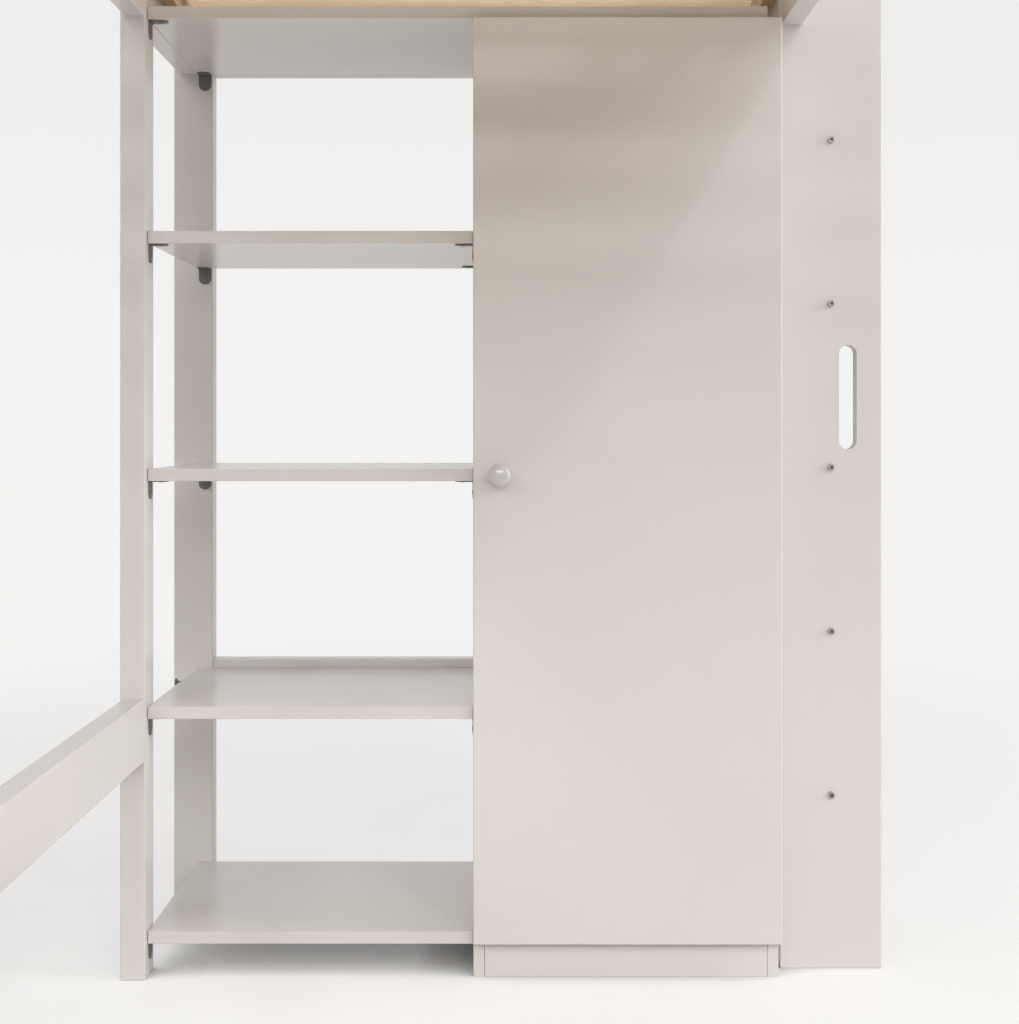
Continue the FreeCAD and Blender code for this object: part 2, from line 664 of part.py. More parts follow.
def make_hinges():
    """Hinge cups sunk in the door, and the arms and pins that carry them on the carcass."""
    cups = new_body("hinge_cups", (CUP_X, DOOR_BACK, HINGE_Z))
    here = ("0", "0", "0")
    round_bar(cups, "cup_shell", here, "-y", "cup_radius", "cup_depth")
    half_width, half_length = "flange_width / 2", "flange_length / 2"
    low = (f"-{half_width}", "0", f"-{half_length}")
    block(cups, "cup_flange", low, (half_width, "flange_thick", half_length))
    mouth = ("0", "flange_thick", "0")
    depth = "cup_depth - cup_floor + flange_thick"
    round_bar(cups, "cup_hollow", mouth, "-y", "cup_radius - cup_wall", depth, cut=True)
    pin_x = "(cup_edge + cup_radius - hinge_from_edge)"
    bore_start = (pin_x, "-hinge_behind_face", "-cup_radius")
    round_bar(cups, "pin_bore", bore_start, "+z", "pin_radius + pin_play", "2 * cup_radius", cut=True)
    row_of(cups, "Z_Axis", HINGES, HINGE_PITCH)

    arms = new_body("hinge_arms", (HINGE_X, HINGE_Y, HINGE_Z))
    wall_x = f"({INNER_R} - {HINGE_X})"
    plate_y = f"({CARCASS_Y} + plate_setback - {HINGE_Y})"
    plate_end = f"({plate_y} + plate_length)"
    front, above = "-arm_below_pin", "arm_thick - arm_below_pin"
    profile = [
        ("0", front), ("0", above), ("arm_thick - arm_reach", above), ("arm_thick - arm_reach", plate_y),
        (wall_x, plate_y), (wall_x, plate_end), ("-arm_reach", plate_end), ("-arm_reach", front),
    ]
    sketch = new_sketch(arms, "arm_profile", "XY_Plane")
    outline(sketch, profile)
    pad(arms, sketch, "arm_width")
    half_pin = f"(sqrt(cup_radius ^ 2 - ({pin_x} + pin_radius) ^ 2) - pin_end_gap)"
    round_bar(arms, "hinge_pin", ("0", "0", f"-{half_pin}"), "+z", "pin_radius", f"2 * {half_pin}")
    foot = (f"{wall_x} - arm_thick", plate_y, "-plate_width / 2")
    block(arms, "mounting_plate", foot, (wall_x, plate_end, "plate_width / 2"))
    row_of(arms, "Z_Axis", HINGES, HINGE_PITCH)


def make_knob():
    """A turned ball knob with a flattened front, and the screw that holds it through the door."""
    knob = new_body("door_knob", (KNOB_X, DOOR_Y, "knob_z"))
    knob.Placement = Placement(knob.Placement.Base, turned("-y"))
    sketch = new_sketch(knob, "knob_profile", "XZ_Plane")
    neck, centre, ball, front = (
        read(text) for text in ("knob_neck_radius", "knob_centre", "knob_radius", "knob_length")
    )
    neck_top = centre - math.sqrt(ball ** 2 - neck ** 2)
    face = math.sqrt(ball ** 2 - (front - centre) ** 2)
    corner_points = [(face, front), (0, front), (0, 0), (neck, 0), (neck, neck_top)]
    spots = [Vector(x, y, 0) for x, y in corner_points]
    for start, end in zip(spots, spots[1:]):
        sketch.addGeometry(Part.LineSegment(start, end))
    sketch.addGeometry(Part.Arc(spots[4], Vector(ball, centre, 0), spots[0]))
    for number in range(4):
        sketch.addConstraint(Sketcher.Constraint("Coincident", number, 2, number + 1, 1))
    sketch.addConstraint(Sketcher.Constraint("Coincident", 4, 2, 0, 1))
    sketch.addConstraint(Sketcher.Constraint("Coincident", 1, 2, -1, 1))
    sketch.addConstraint(Sketcher.Constraint("Horizontal", 0))
    sketch.addConstraint(Sketcher.Constraint("Vertical", 1))
    sketch.addConstraint(Sketcher.Constraint("Horizontal", 2))
    sketch.addConstraint(Sketcher.Constraint("Vertical", 3))
    sketch.addConstraint(Sketcher.Constraint("PointOnObject", 4, 3, -2))
    settings = (
        ("neck", Sketcher.Constraint("DistanceX", 2, 1, 2, 2, neck), "knob_neck_radius"),
        ("length", Sketcher.Constraint("DistanceY", 1, 2, 1, 1, front), "knob_length"),
        ("centre", Sketcher.Constraint("DistanceY", -1, 1, 4, 3, centre), "knob_centre"),
        ("ball", Sketcher.Constraint("Radius", 4, ball), "knob_radius"),
    )
    for label, constraint, text in settings:
        sketch.addConstraint(constraint)
        sketch.renameConstraint(sketch.ConstraintCount - 1, label)
        bind(sketch, f"Constraints.{label}", text)
    ball_shape = turn(knob, sketch, "Z_Axis")
    soften(knob, ball_shape, lambda edge: edge.BoundBox.ZMin > front - 0.001, "knob_front_round")
    bite = "knob_screw_bite"
    hole = "knob_screw_radius + knob_screw_play"
    round_bar(knob, "knob_hole", ("0", "0", "0"), "+z", hole, f"{bite} + knob_screw_play", cut=True)
    screw = new_body("knob_screw", (KNOB_X, DOOR_BACK, "knob_z"))
    here = ("0", "0", "0")
    round_bar(screw, "knob_screw_shank", here, "-y", "knob_screw_radius", f"door_thick + {bite}")
    round_bar(screw, "knob_screw_head", here, "+y", "knob_screw_head_radius", "knob_screw_head_height")


def check_document():
    """Stop if anything in the document failed, or any sub-part is empty or broken."""
    doc.recompute()
    for item in doc.Objects:
        if {"Invalid", "Error"} & set(item.State):
            raise RuntimeError(f"{item.Name} failed: {item.State}")
    for piece in pieces:
        if piece.Shape.isNull() or not piece.Shape.isValid() or not piece.Shape.Solids:
            raise RuntimeError(f"{piece.Label} has no sound solid")


make_posts()
make_rails()
make_slats()
make_ladder()
make_shelves()
make_wardrobe()
make_brackets()
make_door()
make_hinges()
make_knob()
check_document()

os.makedirs("parts", exist_ok=True)
for piece in pieces:
    piece.Shape.exportStep(f"parts/{piece.Label}.step")
print(f"{len(pieces)} sub-parts")
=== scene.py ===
# %% [markdown]
# # A loft bed, dressed for a studio photograph
#
# The bed stands on slim lacquered posts. Under its far end are open shelves and a wardrobe with one
# door, and beside them stands a ladder with slotted sides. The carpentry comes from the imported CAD
# model: every board is already at its real size and place, in metres, with +Z up. This script gives
# those boards their finishes, adds the smallest hardware, and sets up the floor, the light and the
# camera.

# %% Load the carpentry
import math

import bpy
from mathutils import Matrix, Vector


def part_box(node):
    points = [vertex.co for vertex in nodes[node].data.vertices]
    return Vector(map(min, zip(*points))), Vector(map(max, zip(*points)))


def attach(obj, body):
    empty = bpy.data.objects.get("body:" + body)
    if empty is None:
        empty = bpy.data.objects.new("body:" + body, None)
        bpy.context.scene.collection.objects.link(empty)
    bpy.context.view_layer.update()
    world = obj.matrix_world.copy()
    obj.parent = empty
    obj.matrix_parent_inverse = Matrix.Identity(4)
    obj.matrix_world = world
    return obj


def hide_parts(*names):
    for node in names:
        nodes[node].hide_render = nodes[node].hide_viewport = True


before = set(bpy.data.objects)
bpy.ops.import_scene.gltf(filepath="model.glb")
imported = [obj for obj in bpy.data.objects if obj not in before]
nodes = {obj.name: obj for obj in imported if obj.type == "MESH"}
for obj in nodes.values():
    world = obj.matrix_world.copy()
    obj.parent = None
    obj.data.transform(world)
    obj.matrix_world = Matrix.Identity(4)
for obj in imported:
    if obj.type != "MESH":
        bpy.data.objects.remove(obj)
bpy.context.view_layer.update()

# %% [markdown]
# ## Writing shaders as sums
#
# A finish is a small graph of nodes. Linking nodes by hand hides the idea, so one class wraps a socket
# and lets Python's own operators add the Math nodes: `1 - mask` becomes a Subtract node. Every other
# node comes from the method `node`, which sets the node's options first and then its sockets.


# %% A socket that can be added and multiplied
class Wire:
    """A shader socket, or the empty start of a new graph."""

    def __init__(self, tree, socket=None):
        self.tree = tree
        self.socket = socket

    def node(self, kind, settings=None, inputs=None, output=0):
        """Add a node with its settings, then its values or links, and give one of its outputs."""
        made = self.tree.nodes.new(kind)
        for name, value in (settings or {}).items():
            if name == "stops":
                fill_ramp(made.color_ramp, value)
            else:
                setattr(made, name, value)
        for name, value in (inputs or {}).items():
            if isinstance(value, Wire):
                self.tree.links.new(value.socket, made.inputs[name])
            else:
                made.inputs[name].default_value = value
        return Wire(self.tree, made.outputs[output] if made.outputs else None)

    def math(self, operation, first, second):
        """Join two values with a Math node."""
        return self.node("ShaderNodeMath", {"operation": operation}, {0: first, 1: second})

    def __add__(self, other):
        return self.math("ADD", self, other)

    def __radd__(self, other):
        return self.math("ADD", other, self)

    def __sub__(self, other):
        return self.math("SUBTRACT", self, other)

    def __rsub__(self, other):
        return self.math("SUBTRACT", other, self)

    def __mul__(self, other):
        return self.math("MULTIPLY", self, other)

    def __rmul__(self, other):
        return self.math("MULTIPLY", other, self)


def fill_ramp(ramp, stops):
    """Set a colour ramp's stops from pairs of place and colour."""
    while len(ramp.elements) < len(stops):
        ramp.elements.new(1.0)
    for element, (place, colour) in zip(ramp.elements, stops):
        element.position = place
        element.color = (*colour, 1.0)


def start_finish(name):
    """Make an empty material and give the start of its graph."""
    material = bpy.data.materials.new(name)
    material.use_nodes = True
    material.node_tree.nodes.clear()
    return material, Wire(material.node_tree)


def end_finish(start, settings):
    """Close a finish with one Principled shader, which takes constants and links alike."""
    surface = start.node("ShaderNodeBsdfPrincipled", inputs=settings)
    start.node("ShaderNodeOutputMaterial", inputs={"Surface": surface})


def stretched(start, scale):
    """Give the piece's own coordinates in metres, stretched per axis."""
    place = start.node("ShaderNodeTexCoord", output="Object")
    return start.node("ShaderNodeMapping", inputs={"Vector": place, "Scale": scale})


def noise(start, scale, detail=2.0, roughness=0.5):
    """Give cloudy values round 0.5, with so many features per metre along each axis."""
    sockets = {"Vector": stretched(start, scale), "Scale": 1.0, "Detail": detail, "Roughness": roughness}
    return start.node("ShaderNodeTexNoise", inputs=sockets)


def mix_colours(start, share, first, second):
    """Blend two colours by a share from 0 to 1."""
    return start.node("ShaderNodeMix", {"data_type": "RGBA"}, {0: share, 6: first, 7: second}, output=2)


def smooth_step(start, value, low, high):
    """Rise smoothly from 0 to 1 while a value goes from low to high."""
    sockets = {"Value": value, "From Min": low, "From Max": high}
    return start.node("ShaderNodeMapRange", {"interpolation_type": "SMOOTHSTEP"}, sockets)


def bumped(start, height, distance, strength):
    """Turn a height into a normal; the distance is the relief in metres."""
    inputs = {"Height": height, "Distance": distance, "Strength": strength}
    return start.node("ShaderNodeBump", inputs=inputs)


AXES = {"x": 0, "y": 1, "z": 2}


def along_grain(axis, along, across):
    """Give a scale for noise whose features are drawn out along one axis."""
    scale = [across, across, across]
    scale[AXES[axis]] = along
    return scale


# %% [markdown]
# ## Greige lacquer
#
# The bed's boards are sprayed with a warm grey-white satin lacquer. From a step away it looks even, but
# a flat colour would look like plastic. Real lacquer has a slightly uneven thickness, a faint spray
# texture, and the ghost of the grain that it covers. All three are kept very weak: the grain is a long
# thin noise, so the finish is made once for each direction in which a board can run. The turned knob is
# more polished than the boards, and its colours are a darker, cooler copy of the lacquer, a painted
# shade, so colours, roughness and gloss are given as well.


# %% Lacquer for boards that run along one axis
LACQUER_LIGHT = (0.745, 0.710, 0.686, 1.0)
LACQUER_DEEP = (0.708, 0.670, 0.644, 1.0)
CLOUD_SCALE = (2.3, 2.3, 2.3)
GRAIN_SCALE = (5.0, 190.0)
SPRAY_SCALE = (900.0, 900.0, 900.0)
LACQUER_RELIEF = 0.00004
LACQUER_SPREAD = 0.08
BOARD_ROUGHNESS = 0.23
BOARD_GLOSS = 0.20
# The knob's colours are the board lacquer made darker and cooler: painted shade on the knob.
KNOB_SHADED_LIGHT = (0.610, 0.586, 0.588, 1.0)
KNOB_SHADED_DEEP = (0.580, 0.553, 0.554, 1.0)
KNOB_ROUGHNESS = 0.07
KNOB_GLOSS = 0.90


def make_lacquer(name, axis, light, deep, roughness, gloss):
    """Satin lacquer over wood whose grain runs along an axis."""
    material, start = start_finish(name)
    clouds = noise(start, CLOUD_SCALE, detail=3.0)
    grain = noise(start, along_grain(axis, *GRAIN_SCALE), detail=4.0, roughness=0.6)
    spray = noise(start, SPRAY_SCALE)
    depth = 0.75 * clouds + 0.25 * grain
    relief = 0.6 * grain + 0.4 * spray
    end_finish(start, {
        "Base Color": mix_colours(start, depth, deep, light),
        "Roughness": roughness - LACQUER_SPREAD / 2 + LACQUER_SPREAD * clouds,
        "Normal": bumped(start, relief, LACQUER_RELIEF, 0.5),
        "Specular IOR Level": gloss,
    })
    return material


BOARD_FINISH = (LACQUER_LIGHT, LACQUER_DEEP, BOARD_ROUGHNESS, BOARD_GLOSS)
KNOB_FINISH = (KNOB_SHADED_LIGHT, KNOB_SHADED_DEEP, KNOB_ROUGHNESS, KNOB_GLOSS)
lacquer = {axis: make_lacquer(f"greige_lacquer_{axis}", axis, *BOARD_FINISH) for axis in AXES}
knob_shaded_lacquer = make_lacquer("polished_shaded_lacquer", "y", *KNOB_FINISH)
print("lacquer along", ", ".join(lacquer), "and a polished one")

# %% [markdown]
# ## Bare wood
#
# The slats and the cleats under them are planed and left bare. Softwood shows broad bands of darker late
# growth that run along the board, with fine fibres between them. Two noises give that: a wide, slow one
# that is turned into bands by a ramp, and a thin, quick one for the fibres.


# %% Bare softwood along one axis
WOOD_STOPS = [
    (0.30, (0.920, 0.660, 0.375)),
    (0.48, (0.950, 0.720, 0.437)),
    (0.60, (0.860, 0.587, 0.308)),
    (0.75, (0.935, 0.690, 0.410)),
]
FIBRE_SHADE = 0.10
GROWTH_SCALE = (0.9, 38.0)
FIBRE_SCALE = (14.0, 700.0)
WOOD_ROUGHNESS = 0.52
WOOD_SPREAD = 0.16
WOOD_RELIEF = 0.00015
WOOD_GLOSS = 0.4


def make_bare_wood(axis):
    """Planed softwood whose grain runs along an axis."""
    material, start = start_finish(f"bare_wood_{axis}")
    growth = noise(start, along_grain(axis, *GROWTH_SCALE), detail=5.0, roughness=0.55)
    fibres = noise(start, along_grain(axis, *FIBRE_SCALE), detail=3.0, roughness=0.6)
    bands = start.node("ShaderNodeValToRGB", {"stops": WOOD_STOPS}, {"Fac": growth})
    shade = start.node("ShaderNodeMix", {"data_type": "RGBA", "blend_type": "MULTIPLY"}, {
        0: FIBRE_SHADE,
        6: bands,
        7: start.node("ShaderNodeCombineColor", inputs={"Red": fibres, "Green": fibres, "Blue": fibres}),
    }, output=2)
    end_finish(start, {
        "Base Color": shade,
        "Roughness": WOOD_ROUGHNESS + WOOD_SPREAD * fibres,
        "Normal": bumped(start, fibres + growth, WOOD_RELIEF, 0.5),
        "Specular IOR Level": WOOD_GLOSS,
    })
    return material


bare_wood = {axis: make_bare_wood(axis) for axis in "xy"}
print("bare wood along", ", ".join(bare_wood))

# %% [markdown]
# ## Metal
#
# Three metals are used: the dark coated steel of the shelf brackets, the dull plated steel of bolts,
# screws and hinges, and the bright plated tube of the hanging rail. A metal's look is mostly its
# roughness, so each gets its own cloud of slightly rougher and smoother spots. Sockets and inner corners
# get little light, so a short ambient occlusion paints shade into them.


# %% Coated, dull and bright metal
RECESS_REACH = 0.004
PAINTED_SHADE_COLOUR = (0.030, 0.028, 0.026, 1.0)
RECESS_SHADE = (0.25, 0.80)
METAL_SPREAD = 0.16
METAL_RELIEF = 0.00003


def make_metal(name, colour, deep_colour, roughness, metallic, grain):
    """A metal finish with a fine mottle in colour, gloss and relief, and painted shade in its recesses.
    """
    material, start = start_finish(name)
    mottle = noise(start, (grain, grain, grain), detail=4.0, roughness=0.6)
    mottled = mix_colours(start, mottle, deep_colour, colour)
    # Where the ambient occlusion finds a hollow, the colour turns dark: painted shade in sockets and
    # corners.
    recess = {"Distance": RECESS_REACH}
    openness = start.node("ShaderNodeAmbientOcclusion", {"only_local": True}, recess, output="AO")
    unshaded_share = smooth_step(start, openness, *RECESS_SHADE)
    end_finish(start, {
        "Base Color": mix_colours(start, unshaded_share, PAINTED_SHADE_COLOUR, mottled),
        "Roughness": roughness - METAL_SPREAD / 2 + METAL_SPREAD * mottle,
        "Normal": bumped(start, mottle, METAL_RELIEF, 0.4),
        "Metallic": metallic,
    })
    return material


COATED = ((0.185, 0.172, 0.160, 1.0), (0.130, 0.120, 0.110, 1.0))
PLATED = ((0.430, 0.412, 0.400, 1.0), (0.340, 0.326, 0.316, 1.0))
BRIGHT = ((0.780, 0.780, 0.775, 1.0), (0.700, 0.700, 0.695, 1.0))
coated_steel = make_metal("coated_steel", *COATED, roughness=0.50, metallic=0.0, grain=700.0)
plated_steel = make_metal("plated_steel", *PLATED, roughness=0.36, metallic=1.0, grain=900.0)
bright_steel = make_metal("bright_steel", *BRIGHT, roughness=0.16, metallic=1.0, grain=500.0)
print("metals:", coated_steel.name, plated_steel.name, bright_steel.name)

# %% [markdown]
# ## Finishing the boards
#
# A board's grain follows its longest side, so the direction is measured from the piece itself. The few
# exceptions are the metal pieces and the bare slats and cleats, which are known by their names.


# %% Give every carpentry piece its finish
METAL_PIECES = {
    "shelf_brackets": coated_steel,
    "ladder_bolts": plated_steel,
    "knob_screw": plated_steel,
    "hinge_cups": plated_steel,
    "hinge_arms": plated_steel,
    "hanging_rail": bright_steel,
    "hanging_rail_sockets": bright_steel,
}


def longest_axis(name):
    """Name the axis along which a piece is longest."""
    low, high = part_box(name)
    sides = high - low
    return max(AXES, key=lambda axis: sides[AXES[axis]])


def finish_of(name):
    """Choose the finish of a carpentry piece."""
    if name in METAL_PIECES:
        return METAL_PIECES[name]
    if name == "slats":
        return bare_wood["x"]
    if name.endswith("cleat"):
        return bare_wood["y"]
    return lacquer[longest_axis(name)]


for name, piece in nodes.items():
    piece.data.materials.clear()
    piece.data.materials.append(finish_of(name))
print("finished", len(nodes), "pieces")

# %% [markdown]
# ## The knob
#
# The door is pulled by a turned wooden ball whose front is a shallow dome. On a lathe its outline is cut
# once while the wood spins, and Blender's Spin does the same: a chain of vertices is extruded along half
# of the outline, then swept round the knob's axis. The carpentry model has the same knob as flat
# triangles; this one is finer, so its dome and rim catch clean lines of light.


# %% Half of the knob's outline
BALL_RADIUS = 0.0165
BALL_CENTRE = 0.018
KNOB_LENGTH = 0.030
NECK_RADIUS = 0.0080
RIM_ROUND = 0.006
DOME_RADIUS = 0.040
FOOT_OUTLINE = [(0.0, 0.0), (0.0084, 0.0), (0.0082, 0.0006), (0.0079, 0.0016), (0.0078, 0.0026)]
BALL_STEPS = 22
RIM_STEPS = 8
DOME_STEPS = 8


def arc_points(middle, radius, first, last, steps):
    """Give points on an arc as distances from the axis and from the door."""
    turns = [first + (last - first) * step / steps for step in range(steps + 1)]
    return [(middle[0] + radius * math.cos(t), middle[1] + radius * math.sin(t)) for t in turns]


dome_centre = KNOB_LENGTH - DOME_RADIUS
ball_gap = BALL_RADIUS - RIM_ROUND
dome_gap = DOME_RADIUS - RIM_ROUND
between = BALL_CENTRE - dome_centre
rim_over_ball = (dome_gap ** 2 - ball_gap ** 2 - between ** 2) / (2 * between)
rim_height = BALL_CENTRE + rim_over_ball
rim_reach = math.sqrt(ball_gap ** 2 - rim_over_ball ** 2)
rim_start = math.atan2(rim_over_ball, rim_reach)
rim_end = math.atan2(rim_height - dome_centre, rim_reach)
ball_start = -math.acos(NECK_RADIUS / BALL_RADIUS)
ball_outline = arc_points((0.0, BALL_CENTRE), BALL_RADIUS, ball_start, rim_start, BALL_STEPS)
rim_outline = arc_points((rim_reach, rim_height), RIM_ROUND, rim_start, rim_end, RIM_STEPS)
dome_outline = arc_points((0.0, dome_centre), DOME_RADIUS, rim_end, math.pi / 2, DOME_STEPS)
knob_outline = FOOT_OUTLINE + ball_outline + rim_outline[1:] + dome_outline[1:]
print(len(knob_outline), "points on the knob's outline")


# %% Turn the knob
POINT_SIZE = 0.001
TURNING_STEPS = 96
MERGE_REACH = 0.00001
SHARP_ANGLE = math.radians(35)


def start_piece(name, adder, **settings):
    """Add a primitive with nothing else selected, and put its place into its mesh."""
    bpy.ops.object.select_all(action="DESELECT")
    adder(**settings)
    piece = bpy.context.object
    piece.name = name
    bpy.ops.object.transform_apply(location=True, rotation=True, scale=True)
    return piece


knob_low, knob_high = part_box("door_knob")
axis_x = (knob_low.x + knob_high.x) / 2
axis_z = (knob_low.z + knob_high.z) / 2
door_face = knob_high.y

on_door = (axis_x, door_face, axis_z)
knob = start_piece("turned_knob", bpy.ops.mesh.primitive_plane_add, size=POINT_SIZE, location=on_door)
bpy.ops.object.mode_set(mode="EDIT")
bpy.ops.mesh.select_all(action="SELECT")
bpy.ops.mesh.merge(type="CENTER")
for (reach, height), (next_reach, next_height) in zip(knob_outline, knob_outline[1:]):
    step = (next_reach - reach, height - next_height, 0.0)
    bpy.ops.mesh.extrude_region_move(TRANSFORM_OT_translate={"value": step})
bpy.ops.mesh.select_all(action="SELECT")
bpy.ops.mesh.spin(steps=TURNING_STEPS, angle=2 * math.pi, center=on_door, axis=(0, 1, 0))
bpy.ops.mesh.select_all(action="SELECT")
bpy.ops.mesh.remove_doubles(threshold=MERGE_REACH)
bpy.ops.mesh.normals_make_consistent(inside=False)
bpy.ops.object.mode_set(mode="OBJECT")
bpy.ops.object.shade_smooth_by_angle(angle=SHARP_ANGLE)
knob.data.materials.append(knob_shaded_lacquer)
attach(knob, "door")
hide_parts("door_knob")
knob_sides = [round(1000 * side, 1) for side in knob.dimensions]
print("knob", len(knob.data.polygons), "faces, size in mm", knob_sides)

# %% [markdown]
# ## Screws
#
# Every bracket is held by two small pan-head screws, one in each leg, and the hinges have their own. A
# screw this small needs three things to look right: a rounded rim, a slightly domed top and a cross
# recess. One head is modelled from a cylinder: its rim is bevelled, its top is inset and lifted, and a
# cross made of two bars is cut out of it. All the others are copies of that head.


# %% Model one screw head
HEAD_RADIUS = 0.0036
HEAD_HEIGHT = 0.0018
HEAD_SINK = 0.0002
DOME_RISE = 0.0003
RIM_BEVEL = 0.0008
TOP_INSET = 0.0012
STRAIGHT = 0.99


def pick_faces(piece, chosen):
    """Select, in edit mode, the faces of a piece that a test chooses."""
    bpy.ops.mesh.select_all(action="DESELECT")
    bpy.ops.object.mode_set(mode="OBJECT")
    for face in piece.data.polygons:
        face.select = chosen(face)
    bpy.ops.object.mode_set(mode="EDIT")


def faces_up(face):
    """Tell whether a face looks straight up."""
    return face.normal.z > STRAIGHT


head_middle = HEAD_HEIGHT / 2 - HEAD_SINK
head = start_piece(
    "screw_head", bpy.ops.mesh.primitive_cylinder_add,
    vertices=32, radius=HEAD_RADIUS, depth=HEAD_HEIGHT, location=(0, 0, head_middle),
)
bpy.ops.object.mode_set(mode="EDIT")
bpy.ops.mesh.select_mode(type="FACE")
pick_faces(head, faces_up)
bpy.ops.mesh.bevel(offset=RIM_BEVEL, segments=4, affect="EDGES")
pick_faces(head, faces_up)
bpy.ops.mesh.inset(thickness=TOP_INSET)
bpy.ops.transform.translate(value=(0, 0, DOME_RISE))
bpy.ops.object.mode_set(mode="OBJECT")
print("screw head", len(head.data.polygons), "faces before the recess")


# %% Cut the cross recess
BAR_START = 0.002
BAR_MIDDLE = (0, 0, 0.0017)
BAR_LONG = 0.0042
BAR_THIN = 0.0008
TIP_PINCH = (0.6, 0.8, 1.0)


def make_bar(name, length, width):
    """Make a bar that crosses the head, with a pinched lower end as a driver's tip has."""
    bar = start_piece(name, bpy.ops.mesh.primitive_cube_add, size=BAR_START, location=BAR_MIDDLE)
    bpy.ops.object.mode_set(mode="EDIT")
    bpy.ops.mesh.select_mode(type="FACE")
    bpy.ops.mesh.select_all(action="SELECT")
    bpy.ops.transform.resize(value=(length / BAR_START, width / BAR_START, 1.0))
    pick_faces(bar, lambda face: face.normal.z < -STRAIGHT)
    bpy.ops.transform.resize(value=TIP_PINCH)
    bpy.ops.object.mode_set(mode="OBJECT")
    return bar


for name, length, width in (("long_bar", BAR_LONG, BAR_THIN), ("cross_bar", BAR_THIN, BAR_LONG)):
    cutter = make_bar(name, length, width)
    bpy.context.view_layer.objects.active = head
    cut = head.modifiers.new("recess", "BOOLEAN")
    cut.operation = "DIFFERENCE"
    cut.solver = "EXACT"
    cut.object = cutter
    bpy.ops.object.modifier_apply(modifier=cut.name)
    bpy.data.objects.remove(cutter)
bpy.ops.object.select_all(action="DESELECT")
head.select_set(True)
bpy.ops.object.shade_smooth_by_angle(angle=SHARP_ANGLE)
print("screw head", len(head.data.polygons), "faces")


# %% [markdown]
# The screws are placed from the boards that the brackets touch, so they stay on the brackets if the bed
# is ever built at another size. Each copy is turned so that its head looks away from the leg it holds,
# and the copies of one group are joined into one piece.


# %% Copy the head to the brackets
BRACKET_SETBACK = 0.035
SCREW_FROM_CORNER = 0.0165
BRACKET_THICK = 0.0015
UP = Vector((0, 0, 1))


def set_screws(name, places, finish, body, width, height):
    """Copy the screw head to places, given as a point and the way it looks, and join the copies."""
    bpy.ops.object.select_all(action="DESELECT")
    copies = []
    for spot, looks in places:
        copy = head.copy()
        copy.data = head.data.copy()
        bpy.context.scene.collection.objects.link(copy)
        copy.rotation_mode = "QUATERNION"
        copy.rotation_quaternion = UP.rotation_difference(Vector(looks))
        copy.location = spot
        copy.scale = (width, width, height)
        copy.select_set(True)
        copies.append(copy)
    bpy.context.view_layer.objects.active = copies[0]
    bpy.ops.object.join()
    bpy.ops.object.transform_apply(location=True, rotation=True, scale=True)
    screws = bpy.context.object
    screws.name = name
    screws.data.materials.append(finish)
    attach(screws, body)
    print(name, len(places), "screws,", len(screws.data.polygons), "faces")


def bracket_screws(corner, away):
    """Give the two screws of a bracket whose level leg runs away from a corner under a shelf."""
    corner, away = Vector(corner), Vector(away)
    level = corner + away * SCREW_FROM_CORNER - UP * BRACKET_THICK
    upright = corner + away * BRACKET_THICK - UP * SCREW_FROM_CORNER
    return [(level, -UP), (upright, away)]


post_low, post_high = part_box("mid_left_post")
rear_low, rear_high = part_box("rear_left_post")
side_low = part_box("wardrobe_left_side")[0]
front_y = post_low.y + BRACKET_SETBACK
back_y = rear_low.y - BRACKET_SETBACK
rear_x = (post_high.x + rear_high.x) / 2
places = []
for board in ("shelf_1", "shelf_2", "shelf_3", "shelf_4", "top_board"):
    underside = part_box(board)[0].z
    places += bracket_screws((post_high.x, front_y, underside), (1, 0, 0))
    places += bracket_screws((rear_x, rear_low.y, underside), (0, -1, 0))
    if board != "top_board":
        for y in (front_y, back_y):
            places += bracket_screws((side_low.x, y, underside), (-1, 0, 0))
set_screws("bracket_screws", places, coated_steel, "frame", width=1.0, height=0.4)

# %% [markdown]
# The hinges are held by the same screws, a little smaller: two go through the flange of each cup into the
# door, and two through each arm into the wardrobe's side. The door's screws ride on the door.


# %% Copy it to the hinges
HINGES = 3
FLANGE_LENGTH = 0.062
FLANGE_SCREW_RISE = 0.024
ARM_SCREW_SPOTS = (0.012, 0.033)
ARM_SCREW_Y = 0.020

cups_low, cups_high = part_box("hinge_cups")
arms_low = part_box("hinge_arms")[0]
carcass_y = side_low.y
cup_x = (cups_low.x + cups_high.x) / 2
lowest = cups_low.z + FLANGE_LENGTH / 2
pitch = (cups_high.z - cups_low.z - FLANGE_LENGTH) / (HINGES - 1)
hinge_heights = [lowest + pitch * number for number in range(HINGES)]
flange_places = []
arm_places = []
for z in hinge_heights:
    for rise in (-FLANGE_SCREW_RISE, FLANGE_SCREW_RISE):
        flange_places.append(((cup_x, cups_high.y, z + rise), (0, 1, 0)))
    for spot in ARM_SCREW_SPOTS:
        arm_places.append(((arms_low.x, carcass_y + ARM_SCREW_Y + spot, z), (-1, 0, 0)))
set_screws(
    "hinge_flange_screws", flange_places, plated_steel, "door", width=0.8, height=0.5,
)
set_screws("hinge_arm_screws", arm_places, plated_steel, "frame", width=0.8, height=0.8)
bpy.data.objects.remove(head)

# %% [markdown]
# One more screw stands out of the left edge of the second shelf, with a gap under its head. It is turned
# from a thin rod: the rod's outer end is widened, drawn out into a head, and its rim is rounded.

# %% Turn the shelf's screw
SHANK_RADIUS = 0.0019
SHANK_LENGTH = 0.0185
HEAD_FLARE = 2.8
HEAD_THICK = 0.0030
HEAD_RIM = 0.0009
FLARE_STEP = 0.0003
SCREW_SEAT = 0.002
SHELF_SCREW_Y = 0.916

